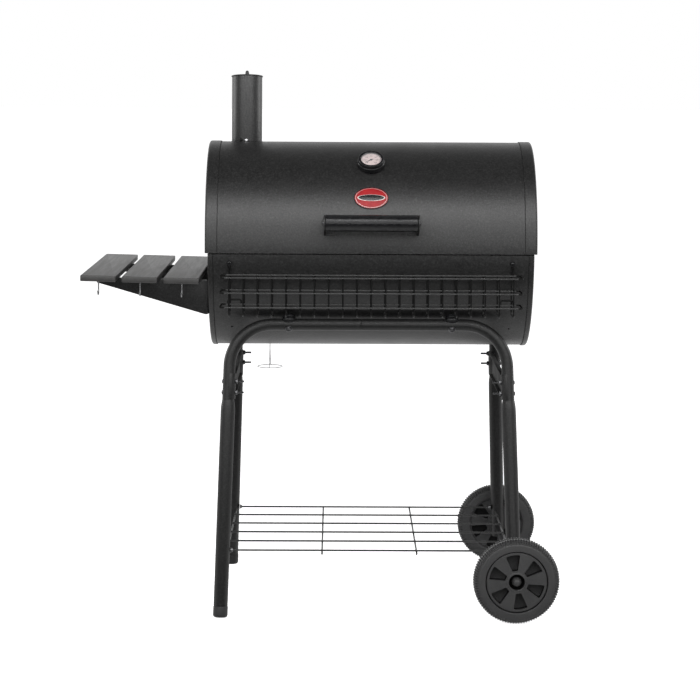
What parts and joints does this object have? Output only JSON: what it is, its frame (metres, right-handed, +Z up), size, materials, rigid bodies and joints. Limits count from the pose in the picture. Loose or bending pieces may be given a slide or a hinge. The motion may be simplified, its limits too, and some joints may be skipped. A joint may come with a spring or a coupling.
{
  "type": "barrel charcoal grill",
  "caption": "Horizontal drum charcoal grill with hinged lid, smoke stack, front wire basket and slatted side shelf on a tube cart with two wheels.",
  "frame": {"origin": "bottom centre of the bounding box, on the ground", "axes": "+X along the drum away from the side shelf, +Y from the front to the back, +Z up"},
  "size_m": [1.1088, 0.712, 1.2706],
  "materials": {
    "black_paint": "textured matte black",
    "black_wire": "satin black",
    "dark_steel": "blackened steel",
    "plated_wire": "bright plated wire",
    "gauge_case": "gloss black",
    "gauge_dial": "printed",
    "gauge_pointer": "matte",
    "gauge_window": "clear",
    "badge": "enamel red with dark rim",
    "grip": "polished black",
    "cast_iron": "matte",
    "tray_steel": "bare dark steel",
    "shelf_wood": "grey stained, satin",
    "wheel_plastic": "matte dark grey",
    "foot_plastic": "matte"
  },
  "bodies": {
    "cart": {"barrel_shell": "black_paint", "barrel_left_end": "black_paint", "barrel_right_end": "black_paint", "hinge_body_leaf_left": "black_paint", "hinge_body_leaf_right": "black_paint", "shelf_bracket_front": "black_paint", "shelf_bracket_rear": "black_paint", "side_brace_left": "black_paint", "side_brace_right": "black_paint", "leg_bend_front_left": "black_paint", "leg_bend_front_right": "black_paint", "leg_bend_rear_left": "black_paint", "leg_bend_rear_right": "black_paint", "lower_leg_front_left": "black_paint", "lower_leg_front_right": "black_paint", "lower_leg_rear_left": "black_paint", "lower_leg_rear_right": "black_paint", "front_basket": "black_wire", "bottom_grate": "black_wire", "tool_hook_1": "black_wire", "tool_hook_2": "black_wire", "tool_hook_3": "black_wire", "axle_rod": "dark_steel", "leg_bolt_front_left": "dark_steel", "leg_bolt_front_right": "dark_steel", "leg_bolt_rear_left": "dark_steel", "leg_bolt_rear_right": "dark_steel", "warming_rack": "plated_wire", "grease_can_ring": "plated_wire", "shelf_slat_outer": "shelf_wood", "shelf_slat_middle": "shelf_wood", "shelf_slat_inner": "shelf_wood", "foot_cap_front": "foot_plastic", "foot_cap_rear": "foot_plastic"},
    "lid": {"hood_shell": "black_paint", "hood_left_end": "black_paint", "hood_right_end": "black_paint", "chimney_stack": "black_paint", "chimney_cap_bolt": "dark_steel", "thermometer_housing": "gauge_case", "thermometer_dial": "gauge_dial", "thermometer_lens": "gauge_window", "badge_plate": "badge", "handle_grip": "grip", "handle_bracket_left": "black_paint", "handle_bracket_right": "black_paint", "hinge_lid_leaf_left": "black_paint", "hinge_lid_leaf_right": "black_paint"},
    "stack_cap": {"chimney_cap": "black_paint"},
    "gauge_hand": {"thermometer_needle": "gauge_pointer"},
    "front_wheel": {"wheel_front": "wheel_plastic"},
    "rear_wheel": {"wheel_rear": "wheel_plastic"},
    "damper": {"side_damper": "black_paint"},
    "tray": {"charcoal_tray": "tray_steel"},
    "grate_1": {"cooking_grate_1": "cast_iron"},
    "grate_2": {"cooking_grate_2": "cast_iron"},
    "grate_3": {"cooking_grate_3": "cast_iron"},
    "grate_4": {"cooking_grate_4": "cast_iron"}
  },
  "joints": [
    {"name": "lid_hinge", "type": "hinge", "parent": "cart", "child": "lid", "pos_m": [0.11325, 0.258, 0.8502], "axis": [-1, 0, 0], "range_deg": [0, 95]},
    {"name": "stack_cap_turn", "type": "hinge", "parent": "lid", "child": "stack_cap", "pos_m": [-0.18475, 0.04917, 1.25579], "axis": [0, 0.1219, 0.9925], "range_deg": [0, 90]},
    {"name": "gauge_hand_turn", "type": "hinge", "parent": "lid", "child": "gauge_hand", "pos_m": [0.11325, -0.15467, 1.06205], "axis": [0, 0.599, -0.8007], "range_deg": [-10, 250], "stiffness_Nm_per_rad": 0.002},
    {"name": "front_wheel_roll", "type": "hinge", "parent": "cart", "child": "front_wheel", "pos_m": [0.45325, -0.331, 0.1006], "axis": [0, 1, 0], "continuous": true},
    {"name": "rear_wheel_roll", "type": "hinge", "parent": "cart", "child": "rear_wheel", "pos_m": [0.45325, 0.331, 0.1006], "axis": [0, 1, 0], "continuous": true},
    {"name": "damper_turn", "type": "hinge", "parent": "cart", "child": "damper", "pos_m": [0.49275, 0, 0.742], "axis": [1, 0, 0], "range_deg": [0, 90]},
    {"name": "tray_lift", "type": "slide", "parent": "cart", "child": "tray", "axis": [0, 0, 1], "range_m": [0, 0.06]},
    {"name": "grate_1_lift", "type": "slide", "parent": "cart", "child": "grate_1", "axis": [0, 0, 1], "range_m": [0, 0.05]},
    {"name": "grate_2_lift", "type": "slide", "parent": "cart", "child": "grate_2", "axis": [0, 0, 1], "range_m": [0, 0.05]},
    {"name": "grate_3_lift", "type": "slide", "parent": "cart", "child": "grate_3", "axis": [0, 0, 1], "range_m": [0, 0.05]},
    {"name": "grate_4_lift", "type": "slide", "parent": "cart", "child": "grate_4", "axis": [0, 0, 1], "range_m": [0, 0.05]}
  ]
}
